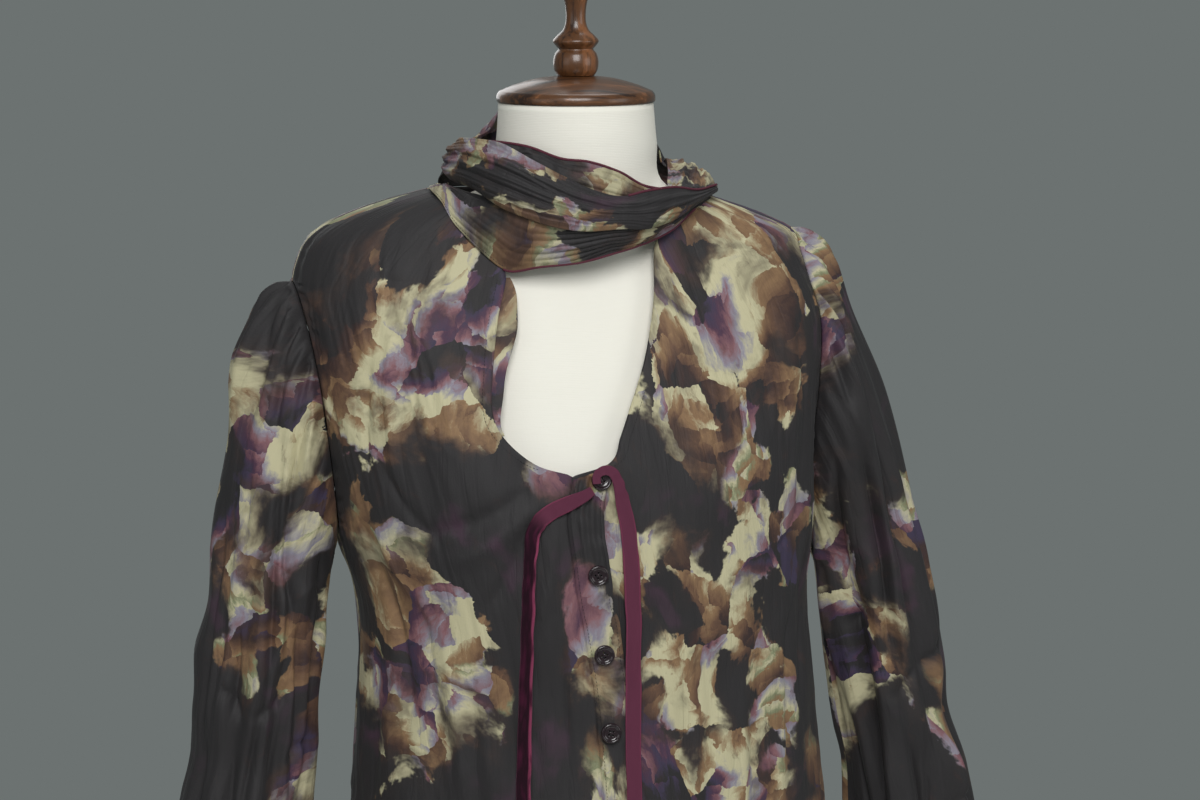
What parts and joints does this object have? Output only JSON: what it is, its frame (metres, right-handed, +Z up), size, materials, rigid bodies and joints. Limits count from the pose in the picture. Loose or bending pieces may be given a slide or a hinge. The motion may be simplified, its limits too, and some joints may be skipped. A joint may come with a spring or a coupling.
{
  "type": "button-down blouse on a dress form",
  "caption": "Printed button-down blouse with a wound scarf collar, a narrow opening, gathered full sleeves and ribbon ties, worn by a limbless dress form on a stand.",
  "frame": {"origin": "centre of the stand base's underside, on the pole's axis", "axes": "+Z up the pole, -Y to the blouse's front, +X to the wearer's left"},
  "size_m": [0.6847, 0.41, 1.5716],
  "materials": {
    "print_cloth": "thin crinkled woven cloth with a blurred flower print in charcoal, cream, brown and purple",
    "scarf_cloth": "the same print, darker, in crosswise pleats",
    "velvet": "narrow maroon velvet ribbon",
    "binding": "narrow maroon edge binding",
    "thread": "dark sewing thread",
    "button_resin": "polished dark resin",
    "canvas": "off-white plain woven canvas, stretched smooth",
    "turned_wood": "polished walnut-brown turned wood"
  },
  "bodies": {
    "root": {"front_right": "print_cloth", "front_left": "print_cloth", "back": "print_cloth", "lap_band": "print_cloth", "opening_facing": "print_cloth", "sleeve_right": "print_cloth", "sleeve_left": "print_cloth", "scarf_lower": "scarf_cloth", "scarf_upper": "scarf_cloth", "scarf_inner": "scarf_cloth", "scarf_back": "scarf_cloth", "scarf_shoulder": "scarf_cloth", "ribbon_right": "velvet", "ribbon_left": "velvet", "button_1": "button_resin", "button_2": "button_resin", "button_3": "button_resin", "button_4": "button_resin", "button_5": "button_resin", "button_6": "button_resin", "button_7": "button_resin", "form_body": "canvas", "form_cap": "turned_wood", "form_finial": "turned_wood", "stand_pole": "turned_wood", "stand_base": "turned_wood"}
  },
  "joints": []
}
